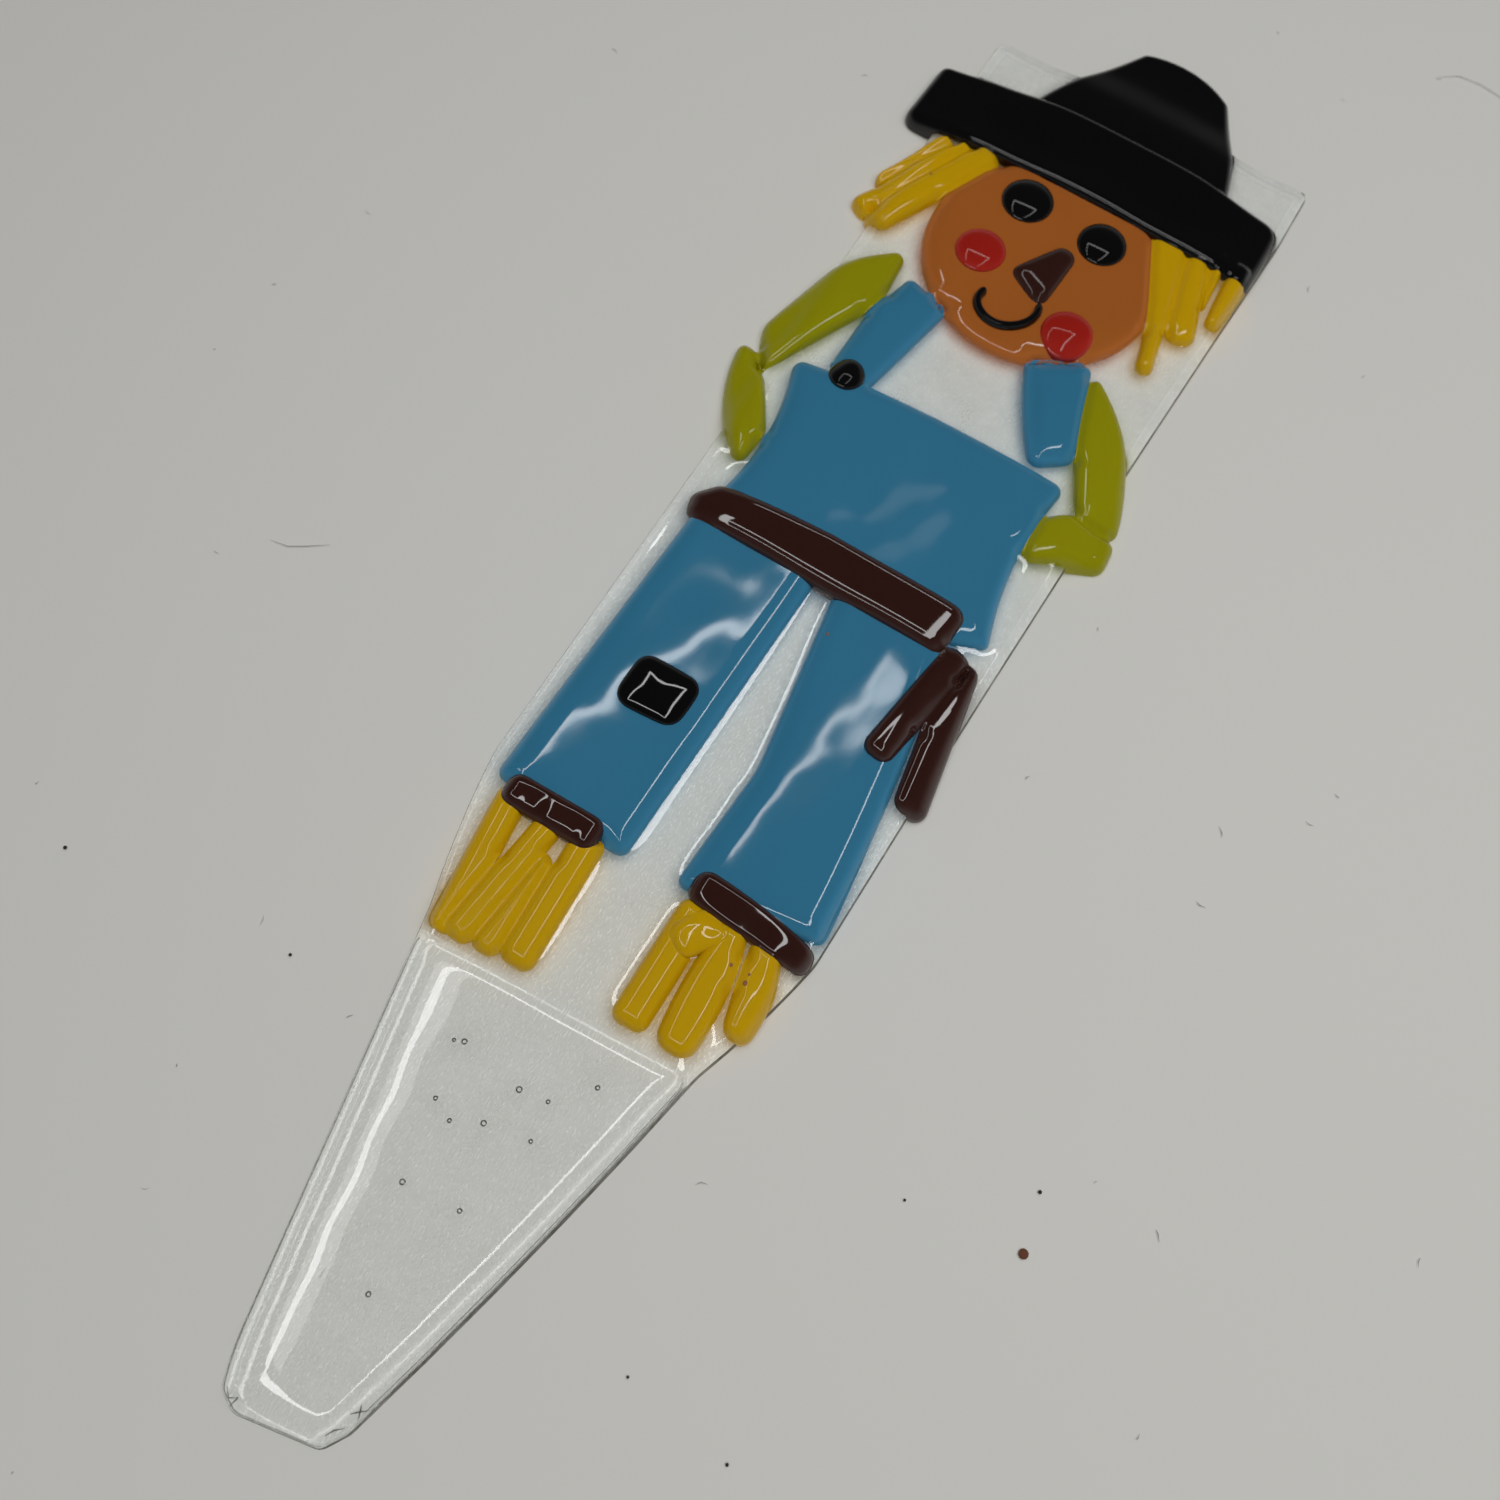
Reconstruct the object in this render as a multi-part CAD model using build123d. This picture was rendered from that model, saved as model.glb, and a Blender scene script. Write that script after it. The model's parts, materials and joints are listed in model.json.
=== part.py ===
"""Kiln-fused glass garden stake in the shape of a scarecrow.

A clear sheet-glass blank with a tapering spike carries hand-cut pieces of opal glass. Every piece
was laid flat on the blank and melted on, so each one lies on, or sags over, the pieces below it.

The pieces are drawn lying on the kiln shelf: x runs across the figure, y runs up it and the height
above the shelf is the third value. The finished stake is then stood up: +Z runs up the figure, the
front faces -Y, and the flat back lies in the plane y = 0. Left and right are the viewer's, from the
front. The origin is the middle of the spike's tip.
"""

from build123d import *
from math import hypot
import os

# Driving dimensions, in millimetres.
SHEET = 3.0  # thickness of the clear blank, one sheet of glass
LAYER_2 = 5.7  # height of the pieces that lie on the blank
LAYER_3 = 7.9  # height of the pieces that lie on other pieces
DOT_TOP = 7.5  # height of the eyes, cheeks, nose and button
STRINGER_TOP = 7.1  # height of the thin glass thread of the smile
BLANK_LENGTH = 305.0  # from the spike's tip to the top edge
SHELF = 0.0  # the back of the stake lay on the kiln shelf

MELT = 1.3  # radius of the fire-polished top edge of a thick piece
DOT_MELT = 1.2
STRINGER_MELT = 0.7
BLANK_MELT = 1.1

WAIST = 171.5  # the bib meets the legs here, under the belt
BRIM_LOW = 274.0
BRIM_HIGH = 292.2
UNDER_BRIM = 279.0  # hair runs this far up, under the brim
CROWN_FOOT = 284.0  # lower edge of the crown, under the brim
UNDER_CUFF = 105.0  # straw runs this far up, under the cuffs

STRINGER = 1.8  # width of the smile
STRIP = 5.8  # usual width of a cut strip of straw or hair
CUTTER = 400.0  # longer than the whole stake

outlines = {}
pieces = {}


def sheet(*corners):
    """Face of a hand-cut sheet, its corners given anticlockwise as (x, y, radius, bow).

    Radius rounds the corner. Bow is how far the edge that follows the corner swells outwards at its
    middle, or pulls in where it is negative.
    """
    edges = []
    for index, (x, y, _, bow) in enumerate(corners):
        end_x, end_y = corners[(index + 1) % len(corners)][:2]
        if bow:
            length = hypot(end_x - x, end_y - y)
            middle_x = (x + end_x) / 2 + bow * (end_y - y) / length
            middle_y = (y + end_y) / 2 - bow * (end_x - x) / length
            edges.append(ThreePointArc((x, y), (middle_x, middle_y), (end_x, end_y)))
        else:
            edges.append(Line((x, y), (end_x, end_y)))
    face = make_face(edges)
    for x, y, radius, _ in corners:
        if radius:
            corner = face.vertices().sort_by_distance((x, y, 0))[0]
            face = fillet(corner, radius)
    return face


def strip(start, end, width=STRIP, radius=2.2):
    """Face of a cut strip whose centre line runs from start to end."""
    run_x = end[0] - start[0]
    run_y = end[1] - start[1]
    length = hypot(run_x, run_y)
    side_x = -run_y / length * width / 2
    side_y = run_x / length * width / 2
    return sheet(
        (start[0] + side_x, start[1] + side_y, radius, 0),
        (start[0] - side_x, start[1] - side_y, radius, 0),
        (end[0] - side_x, end[1] - side_y, radius, 0),
        (end[0] + side_x, end[1] + side_y, radius, 0),
    )


def dot(x, y, radius):
    """Face of a round dot."""
    return Pos(x, y) * Circle(radius)


def melted(face, low, top, melt):
    """A slab from low to top whose upper edge is fire-polished round."""
    slab = Pos(0, 0, low) * extrude(face, top - low)
    return fillet(slab.edges().group_by(Axis.Z)[-1], melt)


def main_solid(shape):
    """The largest solid of a trimmed piece, without the crumbs of the trimming."""
    return max(shape.solids(), key=lambda solid: solid.volume)


def lay(name, face, top=LAYER_2, melt=MELT, beside=(), over=(), hangs=False, sag=None):
    """Lay a piece on the stake.

    It is cut to fit beside pieces of its own layer, drapes over the pieces below it, and starts at
    the shelf where it hangs past the edge of the blank. Sag is the wedge of space above it there.
    """
    piece = melted(face, SHELF if hangs else SHEET, top, melt)
    for other in beside:
        piece -= extrude(outlines[other], CUTTER)
    if hangs:
        piece -= pieces["clear_base"]
    for other in over:
        piece -= pieces[other]
    if sag:
        piece -= sag
    outlines[name] = face
    pieces[name] = main_solid(piece)


def side_sag(*profile):
    """Space above the pieces that slump past the left or right edge: profile is (x, height)."""
    return extrude(Plane.XZ * make_face(Polyline(*profile, close=True)), -CUTTER)


def top_sag(*profile):
    """Space above the crown where it slumps past the top edge: profile is (y, height)."""
    return extrude(Plane.YZ * make_face(Polyline(*profile, close=True)), CUTTER / 2, both=True)


def lay_blank():
    """The clear blank, and the second clear sheet that thickens the spike."""
    blank = sheet(
        (-5.8, -1.5, 1.5, 0),
        (8.8, 1.3, 1.5, 0),
        (11.3, 5.4, 3, 0.8),
        (27.3, 80, 15, 0.6),
        (34.3, 107, 10, -0.9),
        (37.7, 290, 30, 0),
        (37.4, BLANK_LENGTH + 1.2, 1.6, -0.5),
        (20, BLANK_LENGTH + 0.9, 12, 0),
        (-20, BLANK_LENGTH + 0.7, 12, -0.6),
        (-37.4, BLANK_LENGTH + 0.1, 2, 0),
        (-37.8, 280, 30, 0),
        (-34.8, 109, 10, 0.6),
        (-27.8, 80, 15, 0),
        (-12.4, 9, 3, 0.2),
        (-9.6, 0.4, 1.5, 0),
    )
    outlines["clear_base"] = blank
    pieces["clear_base"] = melted(blank, SHELF, SHEET, BLANK_MELT)
    cap = sheet(
        (-5.4, -0.9, 1.5, 0),
        (8.4, 1.7, 1.5, 0),
        (10.8, 5.6, 3, 0.8),
        (26.5, 79.5, 2.5, 0),
        (-26.2, 75.6, 2.5, 0),
        (-12.0, 9.2, 3, 0.2),
        (-9.1, 0.8, 1.5, 0),
    )
    lay("spike_cap", cap, hangs=True)


def lay_straw():
    """Strips of straw that stand out of the trouser legs, four on each side."""
    lay("straw_left_2", strip((-17.9, UNDER_CUFF), (-20.4, 76.8), 5.6), over=["spike_cap"])
    lay("straw_left_1", strip((-26.7, UNDER_CUFF), (-23.0, 76.6), 6.0), over=["spike_cap"],
        beside=["straw_left_2"])
    lay("straw_left_4", strip((-10.7, UNDER_CUFF), (-9.2, 78.4), 6.6), over=["spike_cap"])
    lay("straw_left_3", strip((-16.3, 98), (-15.0, 77.4), 5.6), over=["spike_cap"],
        beside=["straw_left_2", "straw_left_4"])
    lay("straw_right_1", strip((12.0, UNDER_CUFF), (12.4, 80.1), 7.0))
    middle = sheet(
        (17.8, 80.4, 3.0, 0),
        (24.6, 80.4, 3.0, 1.4),
        (21.6, UNDER_CUFF, 1, 0),
        (16.8, UNDER_CUFF, 1, 1.0),
    )
    lay("straw_right_2", middle, beside=["straw_right_1"])
    outer = sheet(
        (26.6, 87.7, 2.6, 0),
        (31.4, 88.0, 2.6, 1.5),
        (28.3, UNDER_CUFF, 1, 0),
        (22.7, UNDER_CUFF, 1, 0.3),
    )
    lay("straw_right_3", outer, beside=["straw_right_2"], hangs=True)
    crossing = strip((17.0, 104.6), (11.8, 96.0), 6.8)
    lay("straw_right_4", crossing, top=7.3, over=["straw_right_1", "straw_right_2"])


def lay_trousers():
    """Bib and two legs of the overalls."""
    bib = sheet(
        (-29.5, WAIST, 0.8, 0),
        (24.5, WAIST, 0, 0),
        (30.8, 174.4, 1.5, -2.6),
        (27.2, 212.5, 2.0, 0.7),
        (-15, 211.2, 0, 0.3),
        (-32.4, 208.2, 2.2, -3.2),
    )
    lay("bib", bib)
    left = sheet(
        (-31.8, 104.9, 2.2, 0),
        (-3.5, 104.2, 2.2, -1.1),
        (-3.1, WAIST, 0.8, 0),
        (-30.4, WAIST, 0.8, -1.3),
    )
    lay("leg_left", left, beside=["bib", *(f"straw_left_{n}" for n in (1, 2, 4))])
    right = sheet(
        (5.9, 105.1, 1.8, 0),
        (33.6, 109.6, 2.0, 0.8),
        (24.2, WAIST, 0.8, 0),
        (0.2, WAIST, 0.8, 0),
        (7.0, 131, 20, 0),
    )
    lay("leg_right", right, beside=["bib"])


def lay_straps():
    """Two straps of the overalls."""
    left = sheet(
        (-25.7, 210.2, 0.8, 0),
        (-16.3, 210.6, 0.8, 0),
        (-12.0, 235.4, 2.4, 0),
        (-22.7, 238.0, 1.6, 0),
        (-25.7, 225, 6, 0),
    )
    lay("strap_left", left, beside=["bib"])
    right = sheet(
        (18.6, 212.6, 2.4, 0),
        (25.7, 218.2, 2.2, -0.5),
        (18.8, 240.0, 1.6, 0.7),
        (6.3, 234.0, 2.0, 0.8),
    )
    lay("strap_right", right)


def lay_sleeves():
    """Two bent arms, each of an upper and a lower sleeve."""
    left_sag = side_sag((-34.5, LAYER_2), (-39, 4.4), (-45, 3.2), (-60, 3.2), (-60, 30), (-34.5, 30))
    right_sag = side_sag((34, LAYER_2), (38, 4.4), (43, 3.2), (60, 3.2), (60, 30), (34, 30))
    left_upper = sheet(
        (-36.4, 201.0, 1.6, -0.4),
        (-24.3, 228.4, 5, 0),
        (-25.7, 243.2, 1.8, 0.6),
        (-37.7, 231.5, 8, 0.2),
        (-42.3, 212.9, 5, 0.3),
    )
    lay("sleeve_left_upper", left_upper, beside=["strap_left"], hangs=True, sag=left_sag)
    left_lower = sheet(
        (-28.6, 181.0, 1.6, 0),
        (-27.9, 190.4, 5, 0.6),
        (-40.1, 207.4, 1.9, 0),
        (-44.0, 206.9, 1.7, 3.2),
    )
    lay("sleeve_left_lower", left_lower, beside=["bib", "sleeve_left_upper"], hangs=True,
        sag=left_sag)
    right_upper = sheet(
        (31.9, 207.4, 2.0, 0),
        (40.6, 208.9, 2.6, 4.2),
        (19.1, 239.2, 1.4, 1.8),
    )
    lay("sleeve_right_upper", right_upper, beside=["strap_right"], hangs=True, sag=right_sag)
    right_lower = sheet(
        (26.2, 193.2, 2.2, -0.3),
        (41.4, 201.4, 3.0, 0.3),
        (40.6, 209.4, 2.6, 0),
        (30.5, 208.4, 2.5, 0),
        (24.9, 203.8, 2.0, 0),
    )
    lay("sleeve_right_lower", right_lower, beside=["bib", "sleeve_right_upper"], hangs=True,
        sag=right_sag)


def lay_hair():
    """Strips of hair: three on the left, which hang past the edge, and four on the right."""
    sag = side_sag((-35.5, LAYER_2), (-39, 4.6), (-44, 3.2), (-60, 3.2), (-60, 30), (-35.5, 30))
    inner = strip((-23.3, 275.0), (-36.5, 245.4), 6.6, 2.4)
    lay("hair_left_inner", inner)
    middle = strip((-27.5, 273.1), (-41.2, 247.9), 6.2, 2.2)
    lay("hair_left_middle", middle, beside=["hair_left_inner"], hangs=True, sag=sag)
    outer = strip((-31.6, 272.2), (-40.0, 255.4), 6.4, 2.6)
    lay("hair_left_outer", outer, beside=["hair_left_inner", "hair_left_middle"], hangs=True,
        sag=sag)
    right_inner = sheet(
        (25.7, 244.2, 1.8, 0),
        (29.5, 244.6, 1.8, 0),
        (21.6, UNDER_BRIM, 1, 0),
        (13.2, UNDER_BRIM - 2, 1, 0),
        (20.2, 261.5, 10, -0.5),
    )
    lay("hair_right_inner", right_inner)
    right_middle = strip((23.4, UNDER_BRIM - 1), (30.6, 254.8), 6.4, 2.6)
    lay("hair_right_middle", right_middle, beside=["hair_right_inner"])
    right_short = strip((28.3, UNDER_BRIM), (29.3, 264), 4.4, 1.8)
    lay("hair_right_short", right_short, beside=["hair_right_middle"])
    right_outer = sheet(
        (32.8, 261.6, 1.4, 0),
        (35.7, 261.8, 1.4, 0.3),
        (36.4, UNDER_BRIM, 1, 0),
        (31.5, UNDER_BRIM, 1, 0.2),
    )
    lay("hair_right_outer", right_outer)


def lay_head():
    """Round face, and the crown of the hat that rises past the top edge of the blank."""
    face = Pos(-1.8, 256.4) * Ellipse(25.1, 24.9)
    lay("face", face, beside=["strap_left", "strap_right", "hair_left_inner", "hair_right_inner"])
    crown = sheet(
        (-26.3, CROWN_FOOT, 2, 0),
        (26.0, CROWN_FOOT, 2, 0),
        (20.2, 303.6, 3, -1.1),
        (13.7, 311.6, 3, 0),
        (13.0, 317.4, 1.2, 3.0),
        (-9.6, 319.8, 1.6, 0),
        (-12.7, 312.0, 3, -0.9),
        (-18.4, 304.0, 3, 0),
    )
    sag = top_sag((304, LAYER_2), (309, 4.5), (314, 3.6), (330, 3.0), (330, 30), (304, 30))
    lay("hat_crown", crown, beside=["face"], hangs=True, sag=sag)


def lay_face_details():
    """Eyes, cheeks, nose and smile, which lie on the face."""
    dots = {
        "eye_left": (-11.3, 266.7, 5.5),
        "eye_right": (6.7, 265.7, 5.2),
        "cheek_left": (-13.5, 250.3, 5.3),
        "cheek_right": (10.8, 242.4, 5.4),
    }
    for name, (x, y, radius) in dots.items():
        lay(name, dot(x, y, radius), top=DOT_TOP, melt=DOT_MELT, over=["face", "strap_right"])
    nose = sheet(
        (-6.2, 249.5, 1.8, 0.3),
        (3.6, 244.6, 2.0, 0),
        (4.2, 260.3, 2.6, 0),
        (0.2, 260.7, 2.2, 0.2),
    )
    lay("nose", nose, top=DOT_TOP, melt=DOT_MELT, over=["face"])
    thread = Spline((-8.2, 241.7), (-8.2, 239.2), (-3.6, 236.3), (1.7, 238.7), (3.1, 244.8))
    ends = dot(-8.2, 241.7, STRINGER / 2) + dot(3.1, 244.8, STRINGER / 2)
    smile = trace(thread, STRINGER) + ends
    lay("smile", smile, top=STRINGER_TOP, melt=STRINGER_MELT, over=["face"])


def lay_top_layer():
    """Brim, belt, cuffs, belt tails, knee patch and button, which sag over the pieces below."""
    brim = sheet(
        (-45.2, BRIM_LOW - 0.6, 3.2, 0),
        (36.8, BRIM_LOW, 2.0, 0.5),
        (36.4, BRIM_HIGH, 3.6, 0.8),
        (-44.8, BRIM_HIGH - 0.8, 2.4, 0),
    )
    brim_sag = side_sag((-25, LAYER_3), (-36, 6.0), (-45, 3.3), (-60, 3.3), (-60, 30), (-25, 30))
    hair = [name for name in pieces if name.startswith("hair")]
    lay("hat_brim", brim, top=LAYER_3, over=["hat_crown", "face", *hair], hangs=True, sag=brim_sag)
    belt = sheet(
        (-31.4, 166.6, 2.8, 0),
        (23.7, 167.4, 2.4, 0),
        (24.6, 178.0, 3.0, 0),
        (-5.0, 177.8, 8, 0),
        (-29.0, 175.7, 3.0, 0),
        (-33.2, 171.6, 2.6, 0),
    )
    lay("belt", belt, top=LAYER_3, over=["bib", "leg_left", "leg_right"])
    left_cuff = sheet(
        (-28.8, 101.2, 2.6, 0),
        (-9.0, 101.4, 2.6, 0),
        (-8.9, 107.9, 2.6, 0),
        (-28.6, 107.3, 2.6, 0),
    )
    left_below = ["leg_left", *(f"straw_left_{n}" for n in (1, 2, 4))]
    lay("cuff_left", left_cuff, top=LAYER_3, over=left_below)
    right_cuff = sheet(
        (8.5, 104.0, 2.6, 0),
        (33.6, 103.0, 2.4, 0),
        (33.7, 108.4, 2.4, 0.5),
        (8.7, 110.4, 2.8, 0),
    )
    right_below = ["leg_right", *(f"straw_right_{n}" for n in (1, 2, 3, 4))]
    lay("cuff_right", right_cuff, top=LAYER_3, over=right_below)
    lay("belt_tail_inner", strip((27.0, 171.0), (23.3, 143.6), 6.2, 2.4), top=LAYER_3,
        over=["leg_right", "bib"], beside=["belt"])
    tail_sag = side_sag((33, LAYER_3), (37, 4.6), (40, 3.6), (60, 3.6), (60, 30), (33, 30))
    lay("belt_tail_outer", strip((28.4, 169.8), (34.1, 138.6), 6.8, 2.4), top=LAYER_3,
        over=["leg_right", "bib"], beside=["belt_tail_inner"], hangs=True, sag=tail_sag)
    patch = sheet(
        (-21.9, 127.4, 3.2, 0.2),
        (-9.4, 128.6, 3.2, 0.4),
        (-9.3, 138.8, 2.8, 0.3),
        (-21.9, 138.4, 2.8, 0.2),
    )
    lay("knee_patch", patch, top=DOT_TOP, melt=DOT_MELT, over=["leg_left"])
    lay("button", dot(-21.2, 209.7, 3.7), top=DOT_TOP, melt=DOT_MELT, over=["strap_left", "bib"])


def write_parts():
    """Stand every piece up and write it as its own STEP file."""
    os.makedirs("parts", exist_ok=True)
    for name, piece in pieces.items():
        export_step(Rot(90, 0, 0) * piece, f"parts/{name}.step")


lay_blank()
lay_straw()
lay_trousers()
lay_straps()
lay_sleeves()
lay_hair()
lay_head()
lay_face_details()
lay_top_layer()
write_parts()
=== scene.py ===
"""Visual model of a kiln-fused glass garden stake in the shape of a scarecrow.

Each piece is remade as melted glass over the outline of its CAD node. Outlines and heights are in
millimetres: an outline is a row of (x, z) points, and a height is measured from the flat back, towards
the viewer. Meshes are made in metres, in the CAD frame, so a height becomes -y.
"""

import json
import math

import bpy
import numpy as np
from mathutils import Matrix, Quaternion, Vector, geometry
from mathutils.bvhtree import BVHTree

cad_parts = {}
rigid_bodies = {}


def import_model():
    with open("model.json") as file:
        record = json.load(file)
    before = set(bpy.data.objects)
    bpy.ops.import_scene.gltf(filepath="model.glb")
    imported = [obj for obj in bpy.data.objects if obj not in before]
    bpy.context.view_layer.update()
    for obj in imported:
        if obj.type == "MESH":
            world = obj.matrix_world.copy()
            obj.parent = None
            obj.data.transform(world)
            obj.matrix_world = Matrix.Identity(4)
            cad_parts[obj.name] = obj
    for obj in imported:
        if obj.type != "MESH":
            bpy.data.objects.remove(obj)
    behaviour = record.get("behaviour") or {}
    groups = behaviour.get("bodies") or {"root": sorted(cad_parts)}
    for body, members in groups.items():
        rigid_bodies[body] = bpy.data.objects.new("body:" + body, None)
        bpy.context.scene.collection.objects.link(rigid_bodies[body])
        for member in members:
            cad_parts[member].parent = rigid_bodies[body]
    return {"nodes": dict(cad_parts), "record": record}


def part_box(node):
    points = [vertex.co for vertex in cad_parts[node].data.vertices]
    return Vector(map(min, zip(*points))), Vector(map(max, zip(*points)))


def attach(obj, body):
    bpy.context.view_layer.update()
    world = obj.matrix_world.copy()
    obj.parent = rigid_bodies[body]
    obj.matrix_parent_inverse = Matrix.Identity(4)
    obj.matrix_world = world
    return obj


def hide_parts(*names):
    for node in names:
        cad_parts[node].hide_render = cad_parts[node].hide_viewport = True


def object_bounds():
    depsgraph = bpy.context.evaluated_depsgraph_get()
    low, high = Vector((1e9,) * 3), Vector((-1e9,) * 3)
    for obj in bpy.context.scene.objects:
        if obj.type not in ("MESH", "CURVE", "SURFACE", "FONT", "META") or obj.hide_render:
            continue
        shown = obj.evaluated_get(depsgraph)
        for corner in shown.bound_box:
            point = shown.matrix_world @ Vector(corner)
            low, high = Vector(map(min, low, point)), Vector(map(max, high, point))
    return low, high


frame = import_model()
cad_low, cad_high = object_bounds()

MM = 0.001
TAU = 2 * math.pi

SHEET = 3.0  # thickness of one sheet of glass
BASE = "clear_base"
CAP = "spike_cap"
SLOT = {row["node"]: row["material_slot"] for row in frame["record"]["subparts"]}
CAD_TOP = {node: -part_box(node)[0].y / MM for node in frame["nodes"]}
LAYER_2 = CAD_TOP["bib"]

# Pieces in the order they were laid. Within a row they lie side by side.
ROW_1 = ["straw_right_4"]
ROW_2 = [
    "hat_brim", "belt", "belt_tail_inner", "belt_tail_outer", "cuff_left", "cuff_right", "knee_patch",
    "button", "eye_left", "eye_right", "cheek_left", "cheek_right", "nose", "smile",
]
ROW_0 = [node for node in SLOT if node not in (BASE, *ROW_1, *ROW_2)]
WIDE_SHEETS = ["bib", "leg_left", "leg_right", "strap_left", "strap_right", "face"]
SPOTS = ["button", "eye_left", "eye_right", "cheek_left", "cheek_right", "nose"]
DOTS = [*SPOTS, "knee_patch"]
HAT = ["hat_crown", "hat_brim"]
STIFF = [*HAT, "belt"]  # pieces that bridge the gaps below them

STEPS_ROUND = 260  # points round the outline of a piece of middling size
CORNER_MELT = 0.45  # how round the corners of an outline have melted
SHOULDER = 4.6  # how far from its edge a wide sheet reaches its full height
DOT_SHOULDER = 5.0
BAR_SHOULDER = 2.8
HAT_SHOULDER = 2.2
CAP_BEVEL = 1.86  # how much lower the spike's left side has melted
CAP_BEVEL_REACH = 16.0
FILL = 0.92  # most of the way from a narrow piece's edge to its middle line
BASE_SHOULDER = 2.2
BASE_WALL = 0.5  # height of the blank's side below its rounded edge

SUNK = 0.15  # how deep a piece is bonded into the glass below it
COVER = 0.6  # the least thickness of a piece over what lies below it
SAG = 2.0  # how softly a piece drapes over what lies below it
STIFF_SAG = 5.0  # the same for the stiff pieces
MENISCUS = 0.9  # how high the clear glass creeps up the side of a piece
MENISCUS_REACH = 1.7
WAVE = 0.03  # height of the waves on a melted piece
WAVE_LENGTH = 15.0
BASE_WAVE = 0.05
BASE_WAVE_LENGTH = 26.0
SEAM = 0.38  # share of the height that is lost in the groove between two pieces
MELTED_SEAM = 0.04  # the same where two blue pieces have flowed together
SEAM_REACH = 1.1
TOUCHING = 0.5  # two outlines closer than this touch
THINNEST = 0.02

# Spacing of the points on each mesh.
DOT_SPACING = 0.35
BAR_SPACING = 0.6
SHEET_SPACING = 0.9
UNDER_SPACING = 1.5
BASE_SPACING = 0.8
BASE_UNDER_SPACING = 3.0

# Rows of points that follow the edge, as shares of the shoulder's width. Below they are in millimetres.
STEEP_ROWS = (0, 0.004, 0.015, 0.035, 0.065, 0.1, 0.145)
SHOULDER_ROWS = (0.2, 0.26, 0.33, 0.41, 0.5, 0.6, 0.71, 0.83, 0.96, 1.12)
UNDER_ROWS = (0.45, 1.1, 2.4)

# Kinds of face, which are places in a piece's list of materials: the blank's, the cap's and an opal piece's.
# The blank's last three kinds are painted: two paler bands of painted light inside its rim and a dark line of
# painted shade at it. The scratch kind also holds lines of painted shade.
CLEAR, CLEAR_BACK, BONDED, SCRATCH_AND_PAINTED_SHADE, PAINTED_LIGHT_INNER, PAINTED_LIGHT_EDGE, PAINTED_SHADE_RIM = range(7)
CAP_BONDED, CAP_BUBBLE = 1, 2
OPAL_SPECK = 1


# ---------------------------------------------------------------------------------------------
# Outlines
# ---------------------------------------------------------------------------------------------


def front_loop(node):
    """Silhouette of a CAD node seen from the front, anticlockwise: the rim of all its flattened faces."""
    mesh = frame["nodes"][node].data
    place = np.empty(len(mesh.vertices) * 3, np.float32)
    mesh.vertices.foreach_get("co", place)
    place = place.reshape(-1, 3).astype(float) / MM
    mesh.calc_loop_triangles()
    corners = np.empty(len(mesh.loop_triangles) * 3, np.int32)
    mesh.loop_triangles.foreach_get("vertices", corners)
    flat, weld = np.unique(np.round(place[:, (0, 2)], 3), axis=0, return_inverse=True)
    corners = weld.reshape(-1)[corners.reshape(-1, 3)]
    first, second, third = (flat[corners[:, k]] for k in range(3))
    area = np.cross(second - first, third - first)
    facing = np.concatenate([corners[area > 1e-7], corners[area < -1e-7][:, ::-1]]).tolist()
    points = [Vector(p) for p in flat.tolist()]
    made = geometry.delaunay_2d_cdt(points, [], facing, 1, 1e-6, True)
    flat = np.array([tuple(p) for p in made[0]])
    faces = [face for face, source in zip(made[2], made[5]) if source]
    edges = {(a, b) for face in faces for a, b in zip(face, face[1:] + face[:1])}
    following = {a: b for a, b in edges if (b, a) not in edges}
    longest = []
    while following:
        start, here = following.popitem()
        loop = [start]
        while here in following:
            loop.append(here)
            here = following.pop(here)
        if len(loop) > len(longest):
            longest = loop
    return flat[longest]


def soften(loop, step, reach):
    """The loop with evenly spaced points and its corners melted round."""
    closed = np.vstack([loop, loop[:1]])
    run = np.concatenate([[0], np.cumsum(np.linalg.norm(np.diff(closed, axis=0), axis=1))])
    count = int(run[-1] / step)
    along = np.arange(count) * run[-1] / count
    points = np.stack([np.interp(along, run, closed[:, k]) for k in (0, 1)], axis=1)
    turns = np.fft.fftfreq(count, run[-1] / count)
    keep = np.exp(-2 * (math.pi * reach * turns) ** 2)
    return np.fft.ifft(np.fft.fft(points, axis=0) * keep[:, None], axis=0).real


def inward(loop):
    """Unit normals that point into the loop."""
    run = np.roll(loop, -1, axis=0) - np.roll(loop, 1, axis=0)
    run /= np.linalg.norm(run, axis=1)[:, None]
    return np.stack([-run[:, 1], run[:, 0]], axis=1)


def distance(points, starts, ends):
    """Distance from each point to the nearest of the segments, which stand as low walls in a search tree."""
    count = len(starts)
    flat = np.concatenate([starts, ends])
    corners = [(x, z, level) for level in (-1, 1) for x, z in flat.tolist()]
    walls = [(k, count + k, 3 * count + k, 2 * count + k) for k in range(count)]
    tree = BVHTree.FromPolygons(corners, walls)
    return np.array([tree.find_nearest((x, z, 0))[3] for x, z in points.tolist()])


def inside(points, loop):
    """Whether each point is inside the loop."""
    x, z = points[:, 0], points[:, 1]
    odd = np.zeros(len(points), bool)
    for (x1, z1), (x2, z2) in zip(loop, np.roll(loop, -1, axis=0)):
        if z1 != z2:
            odd ^= ((z1 > z) != (z2 > z)) & (x < (x2 - x1) * (z - z1) / (z2 - z1) + x1)
    return odd


# ---------------------------------------------------------------------------------------------
# Height fields on a grid over the whole stake
# ---------------------------------------------------------------------------------------------

PITCH = 0.5
MARGIN = 6.0
grid_x = np.arange(cad_low.x / MM - MARGIN, cad_high.x / MM + MARGIN, PITCH)
grid_z = np.arange(cad_low.z / MM - MARGIN, cad_high.z / MM + MARGIN, PITCH)
grid_points = np.stack(np.meshgrid(grid_x, grid_z, indexing="ij"), axis=-1).reshape(-1, 2)
grid_shape = (len(grid_x), len(grid_z))


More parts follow.
